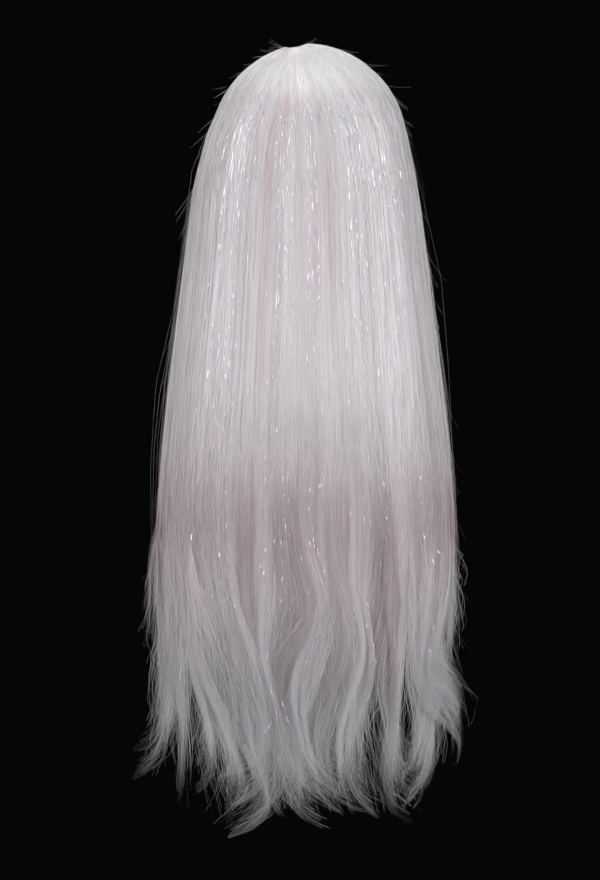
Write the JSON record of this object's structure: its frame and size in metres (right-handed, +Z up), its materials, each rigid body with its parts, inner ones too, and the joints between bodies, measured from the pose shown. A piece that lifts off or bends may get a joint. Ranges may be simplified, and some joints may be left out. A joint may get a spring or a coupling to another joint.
{
  "type": "lace front wig",
  "caption": "Long straight pale wig with a lace front: a stretch cap with hair parted on top that hangs far down the back and beside the face.",
  "frame": {"origin": "Where the crown of the head meets the inside of the cap, at the mount head_seat.", "axes": "+X is to the wearer's right, +Y is the way the wearer faces and +Z is up. The picture looks along +Y, at the back of the wig."},
  "size_m": [0.3102, 0.2334, 0.7524],
  "materials": {
    "cap_net": "pale elastic net",
    "lace": "fine pale lace",
    "hair": "silky silver white fibre with pale pink streaks"
  },
  "bodies": {
    "root": {"cap": "cap_net", "lace_front": "lace", "crown_hair_left": "hair", "crown_hair_right": "hair", "back_fall": "hair", "left_fall": "hair", "right_fall": "hair"}
  },
  "joints": []
}
